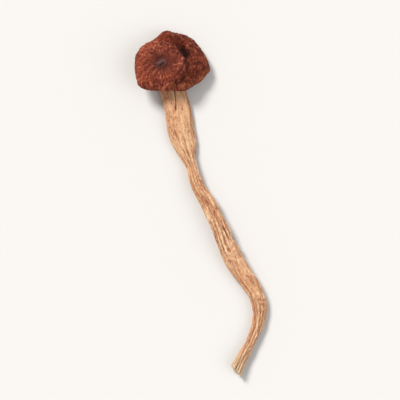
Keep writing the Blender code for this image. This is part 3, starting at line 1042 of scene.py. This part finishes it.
class Paint:
    """A node material under construction."""

    def __init__(self, name, roughness, specular):
        self.made = bpy.data.materials.new(name)
        self.made.use_nodes = True
        self.tree = self.made.node_tree
        self.shader = self.tree.nodes["Principled BSDF"]
        self.shade("Roughness", roughness)
        self.shade("Specular IOR Level", specular)

    def put(self, socket, value):
        """Sets a socket, or links it to another one or to a value stored in the mesh."""
        if isinstance(value, str):
            value = self.value(value)
        if isinstance(value, bpy.types.NodeSocket):
            self.tree.links.new(value, socket)
        else:
            socket.default_value = value

    def shade(self, name, value):
        self.put(self.shader.inputs[name], value)

    def value(self, name, output="Fac"):
        node = self.tree.nodes.new("ShaderNodeAttribute")
        node.attribute_name = name
        return node.outputs[output]

    def place(self, name):
        return self.value(name, "Vector")

    def node(self, kind, inputs, operation=None):
        """Adds a node with its inputs and gives its outputs."""
        node = self.tree.nodes.new(kind)
        if operation is not None:
            node.operation = operation
        for key, value in inputs.items():
            self.put(node.inputs[key], value)
        return node.outputs

    def noise(self, place, scale, detail, rough):
        inputs = {"Vector": place, "Scale": scale, "Detail": detail, "Roughness": rough}
        return self.node("ShaderNodeTexNoise", inputs)["Fac"]

    def stretch(self, place, around, along):
        """Places spread round the stem and along it, which makes noise finer there."""
        inputs = {0: place, 1: (around, around, along)}
        return self.node("ShaderNodeVectorMath", inputs, "MULTIPLY")[0]

    def add(self, first, second):
        return self.node("ShaderNodeMath", {0: first, 1: second}, "ADD")[0]

    def times(self, first, second):
        return self.node("ShaderNodeMath", {0: first, 1: second}, "MULTIPLY")[0]

    def span(self, value, low, high, to_low=0.0, to_high=1.0):
        ends = {"From Min": low, "From Max": high, "To Min": to_low, "To Max": to_high}
        return self.node("ShaderNodeMapRange", {"Value": value, **ends})["Result"]

    def ramp(self, value, *stops):
        node = self.tree.nodes.new("ShaderNodeValToRGB")
        self.put(node.inputs["Fac"], value)
        elements = node.color_ramp.elements
        while len(elements) < len(stops):
            elements.new(0.5)
        for element, (place, code) in zip(elements, stops):
            element.position = place
            element.color = colour(code)
        return node.outputs["Color"]

    def mix(self, share, first, second):
        node = self.tree.nodes.new("ShaderNodeMix")
        node.data_type = "RGBA"
        self.put(node.inputs[0], share)
        self.put(node.inputs[6], first)
        self.put(node.inputs[7], second)
        return node.outputs[2]

    def coat(self, base, value, low, high, share, code, strength=None):
        """Lays a colour over the base: none at low, a share of it at high, times the strength."""
        shown = self.span(value, low, high, 0.0, share)
        if strength is not None:
            shown = self.times(shown, strength)
        return self.mix(shown, base, colour(code))

    def finish(self, base, height, depth):
        """Ends with the base colour and a bump, whose depth is in millimetres."""
        bumps = self.node("ShaderNodeBump", {"Distance": depth * MM, "Height": height})
        self.shade("Base Color", base)
        self.shade("Normal", bumps["Normal"])
        return self.made

    def glow(self, weight, radius):
        """Light that goes a little way into the flesh; the radius is in millimetres."""
        self.shade("Subsurface Weight", weight)
        self.shade("Subsurface Radius", [r * MM for r in radius])
        self.shade("Subsurface Scale", 1.0)


# The skin's colours, from painted shade in its creases to painted highlight on its ridges.
SKIN_TONES_SHADED_TO_LIT = (
    (0.05, "3d160f"),
    (0.28, "682c1e"),
    (0.55, "89422e"),
    (0.80, "a2543b"),
    (1.00, "bb745a"),
)
# The stem's colours from the cap to the cut end.
STEM_TONES = (
    (0.00, "d3a478"),
    (0.12, "d8a981"),
    (0.30, "d3a880"),
    (0.44, "cf9a72"),
    (0.555, "c7916a"),
    (0.605, "dcb08b"),
    (0.70, "c9956d"),
    (0.80, "cf9870"),
    (0.90, "d0a078"),
    (0.945, "d2aa84"),
    (0.965, "cfae8a"),
    (1.00, "dac3a1"),
)


def cap_paint():
    """Reddish brown leathery skin, grey in the middle, with painted shade in its creases, crease
    and slits, and painted highlights on its ridges, on its left side and beside the middle slit.
    """
    paint = Paint("cap_skin", 0.80, 0.12)
    paint.shade("Sheen Weight", 0.03)
    paint.shade("Sheen Roughness", 0.5)
    skin = paint.place("skin")
    mottle = paint.noise(skin, 0.38, 4.0, 0.6)
    speckle = paint.noise(skin, 2.0, 4.0, 0.7)
    streak = paint.noise(paint.place("flow"), 3.3, 3.0, 0.6)
    # The level mixes the skin's own mottling with painted shade in wrinkle creases and low broad
    # relief, and painted highlight on ridges and on the left side.
    tone_and_painted_light = paint.span("wrinkle", -1.05, 1.05)
    tone_and_painted_light = paint.add(tone_and_painted_light, paint.span(mottle, 0.3, 0.7, -0.14, 0.14))
    tone_and_painted_light = paint.add(tone_and_painted_light, paint.span(streak, 0.3, 0.7, -0.19, 0.17))
    tone_and_painted_light = paint.add(tone_and_painted_light, paint.span(speckle, 0.3, 0.7, -0.19, 0.17))
    tone_and_painted_light = paint.add(tone_and_painted_light, paint.span("broad", 0.0, 2.0, -0.12, 0.18))
    base = paint.ramp(tone_and_painted_light, *SKIN_TONES_SHADED_TO_LIT)
    base = paint.coat(base, paint.noise(skin, 0.16, 2.0, 0.5), 0.45, 0.65, 0.30, "8f4023")
    base = paint.coat(base, "flap", 0.0, 1.0, 0.38, "561c0d")
    base = paint.coat(base, "shade", 0.1, 1.0, 0.42, "6a332c")
    # The rim's own paler margin, with a painted highlight on the left rim, stronger on ridges.
    edge = paint.add("margin", paint.span(mottle, 0.3, 0.7, -0.45, 0.25))
    base = paint.coat(base, edge, 0.1, 1.0, 0.62, "bb7348", paint.span(tone_and_painted_light, 0.1, 0.8, 0.35, 1.0))
    # Painted shade in the crease and its pit.
    base = paint.coat(base, "crease", 0.1, 0.9, 0.94, "1c0402")
    grey = paint.ramp(speckle, (0.36, "230c08"), (0.50, "431810"), (0.66, "602c22"))
    base = paint.mix(paint.span("middle", 0.05, 0.8, 0.0, 0.80), base, grey)
    # Painted grey highlight beside the middle slit, broken up by the speckle.
    speckled = paint.span(speckle, 0.36, 0.66, 0.20, 0.82)
    base = paint.coat(base, "bloom", 0.15, 1.0, 1.0, "8f7374", speckled)
    # Painted shade in the middle slit.
    base = paint.coat(base, "navel", 0.3, 0.9, 0.85, "1b0a0c")
    under = paint.ramp(mottle, (0.3, "97603d"), (0.7, "c08c60"))
    base = paint.mix("under", base, under)
    grain = paint.noise(skin, 7.0, 4.0, 0.7)
    paint.shade("Roughness", paint.span(mottle, 0.3, 0.7, 0.70, 0.90))
    return paint.finish(base, grain, 0.18)


def gill_paint():
    """Dry tan gills, with painted shade between the blades."""
    paint = Paint("gill_flesh", 0.85, 0.2)
    skin = paint.place("skin")
    mottle = paint.noise(skin, 0.5, 4.0, 0.6)
    base = paint.ramp(mottle, (0.3, "a07850"), (0.5, "bd956a"), (0.7, "d0ae82"))
    # Painted shade between the blades.
    base = paint.coat(base, "deep", 0.1, 0.9, 0.85, "55321e")
    return paint.finish(base, paint.noise(skin, 6.0, 3.0, 0.7), 0.10)


def veil_paint():
    """Cream dried skin, browner towards its torn edge."""
    paint = Paint("veil_skin", 0.7, 0.3)
    paint.glow(0.15, (0.6, 0.4, 0.2))
    skin = paint.place("skin")
    mottle = paint.noise(skin, 0.45, 4.0, 0.6)
    base = paint.ramp(mottle, (0.3, "c29a68"), (0.5, "d9ba8a"), (0.7, "e8d2a8"))
    base = paint.coat(base, "torn", 0.7, 1.0, 0.5, "ab7c50")
    return paint.finish(base, paint.noise(skin, 5.0, 3.0, 0.6), 0.06)


def stem_paint():
    """Fibrous tan stem with reddish streaks, painted shade in its furrows, grooves and fibre
    crevices, painted highlight on raised fibres, and cream towards the cut base.
    """
    paint = Paint("stem_fibre", 0.8, 0.2)
    paint.glow(0.08, (0.8, 0.5, 0.3))
    flow = paint.place("flow")
    streak = paint.noise(paint.stretch(flow, 3.4, 1.0), 1.0, 4.0, 0.6)
    thread = paint.noise(paint.stretch(flow, 9.0, 2.6), 1.0, 4.0, 0.65)
    line = paint.noise(paint.stretch(flow, 15.0, 3.6), 1.0, 3.0, 0.6)
    fleck = paint.noise(paint.stretch(flow, 6.0, 9.0), 1.0, 4.0, 0.7)
    patch = paint.noise(paint.stretch(flow, 1.3, 1.1), 1.0, 3.0, 0.55)
    base = paint.ramp("run", *STEM_TONES)
    band = paint.add("band", paint.span(streak, 0.35, 0.65, -0.45, 0.35))
    base = paint.coat(base, band, 0.2, 1.1, 0.72, "ae6a46")
    base = paint.coat(base, fleck, 0.54, 0.62, 0.85, "8c4427", paint.span(band, 0.05, 0.6))
    streaky = paint.span(streak, 0.35, 0.65, 0.85, 0.35)
    base = paint.coat(base, "shaded", 0.0, 1.0, 1.0, "8f5236", streaky)
    bold = paint.value("bold")
    for value, low, high, share, code in (
        (patch, 0.52, 0.66, 0.60, "a9694a"),
        (patch, 0.46, 0.34, 0.50, "efd2ac"),
        (streak, 0.51, 0.64, 0.52, "ecc9a0"),
        (streak, 0.49, 0.36, 0.45, "a8674a"),
        (thread, 0.53, 0.63, 0.60, "96553a"),
        (thread, 0.46, 0.36, 0.55, "efd0a8"),
        (line, 0.56, 0.63, 0.55, "7d4029"),
        # Painted highlight on raised fibres, and painted shade in the crevices between them and in
        # the grooves between ribs.
        ("fibre", 0.1, 1.4, 0.50, "eccaa2"),
        ("fibre", -0.2, -1.1, 0.62, "81452d"),
        ("groove_shade", 0.30, 1.1, 0.55, "83472f"),
        (fleck, 0.57, 0.66, 0.62, "85452e"),
        (fleck, 0.43, 0.34, 0.50, "f0d2ae"),
    ):
        base = paint.coat(base, value, low, high, share, code, bold)
    # Painted shade in the furrows, cracks and folds.
    base = paint.coat(base, "furrow", 0.15, 0.7, 0.80, "5a2418")
    places = paint.stretch(flow, 3.0, 5.4)
    dots = paint.node("ShaderNodeTexVoronoi", {"Vector": places, "Scale": 1.0})["Distance"]
    dots = paint.add(dots, paint.span(fleck, 0.35, 0.65, 0.16, -0.14))
    base = paint.coat(base, dots, 0.13, 0.05, 0.62, "7a3a25")
    mark = paint.add("mark", paint.span(fleck, 0.3, 0.7, -0.25, 0.25))
    base = paint.coat(base, mark, 0.25, 0.85, 0.75, "7c3720")
    sponge = paint.noise(paint.place("skin"), 2.4, 5.0, 0.7)
    inside = paint.ramp(sponge, (0.34, "a97c58"), (0.46, "d8b592"), (0.60, "f0dcc0"))
    base = paint.mix("cut", base, inside)
    grain = paint.noise(paint.stretch(flow, 34.0, 9.0), 1.0, 4.0, 0.7)
    paint.shade("Roughness", paint.span(streak, 0.3, 0.7, 0.74, 0.92))
    return paint.finish(base, grain, 0.16)


def strand_paint():
    """Loose fibres: tan to reddish brown, each a little different, paler at the tips."""
    paint = Paint("strand_fibre", 0.8, 0.2)
    base = paint.ramp("pick", (0.0, "bf8a62"), (0.35, "d8b088"), (0.6, "a96c4c"), (1.0, "dcb990"))
    base = paint.coat(base, "tip", 0.3, 1.0, 0.8, "e3c8a2")
    return paint.finish(base, paint.noise("tip", 30.0, 2.0, 0.6), 0.03)


# Light, floor and camera, in metres.

FLOOR_HALF = 3.0
FLOOR_COLOUR = (0.66, 0.655, 0.645, 1.0)
# Each light: where it stands, how wide it looks in degrees, its strength and its colour.
KEY_LIGHT = ((-0.30, 0.28, 0.52), 20.0, 3.1, (1.0, 0.97, 0.93))
FILL_LIGHT = ((0.45, -0.25, 0.45), 45.0, 0.9, (0.95, 0.97, 1.0))
SKY_COLOUR = (1.0, 0.99, 0.98, 1.0)
SKY_STRENGTH = 0.50
CAMERA_ELEVATION = math.radians(78)
CAMERA_LENS = 200.0
CAMERA_SENSOR = 36.0
CAMERA_TARGET = (0.0, 0.0, 0.004)
FRAME_HEIGHT = 0.172


def distant_light(name, place, spread, strength, tint):
    """A broad light so far away that it falls evenly."""
    lamp = bpy.data.lights.new(name, "SUN")
    lamp.angle = math.radians(spread)
    lamp.energy = strength
    lamp.color = tint
    light = new_object(name, lamp)
    light.location = place
    light.rotation_euler = (-Vector(place)).to_track_quat("-Z", "Y").to_euler()


def light_and_floor():
    square = ((-1, -1), (1, -1), (1, 1), (-1, 1))
    corners = [(x * FLOOR_HALF, y * FLOOR_HALF, 0.0) for x, y in square]
    mesh = bpy.data.meshes.new("floor")
    mesh.from_pydata(corners, [], [(0, 1, 2, 3)])
    paint = Paint("pale_floor", 0.9, 0.1)
    paint.shade("Base Color", FLOOR_COLOUR)
    mesh.materials.append(paint.made)
    floor = new_object("floor", mesh)
    distant_light("key", *KEY_LIGHT)
    distant_light("fill", *FILL_LIGHT)
    world = bpy.data.worlds.new("studio")
    world.use_nodes = True
    sky = world.node_tree.nodes["Background"]
    sky.inputs["Color"].default_value = SKY_COLOUR
    sky.inputs["Strength"].default_value = SKY_STRENGTH
    bpy.context.scene.world = world
    bpy.context.scene.view_settings.view_transform = "Standard"


def make_camera():
    back = Vector((0.0, -math.cos(CAMERA_ELEVATION), math.sin(CAMERA_ELEVATION)))
    lens = bpy.data.cameras.new("camera")
    lens.lens = CAMERA_LENS
    lens.sensor_width = CAMERA_SENSOR
    lens.clip_start = 0.01
    eye = new_object("camera", lens)
    eye.location = Vector(CAMERA_TARGET) + FRAME_HEIGHT * CAMERA_LENS / CAMERA_SENSOR * back
    eye.rotation_euler = (math.pi / 2.0 - CAMERA_ELEVATION, 0.0, 0.0)
    bpy.context.scene.camera = eye


draw = np.random.default_rng(RANDOM_SEED)
make_camera()
light_and_floor()
make_cap(cap_paint())
make_gills(gill_paint())
make_veil(veil_paint())
make_stem(stem_paint())
strand_finish = strand_paint()
make_peeling(strand_finish, draw)
make_frayed(strand_finish, draw)
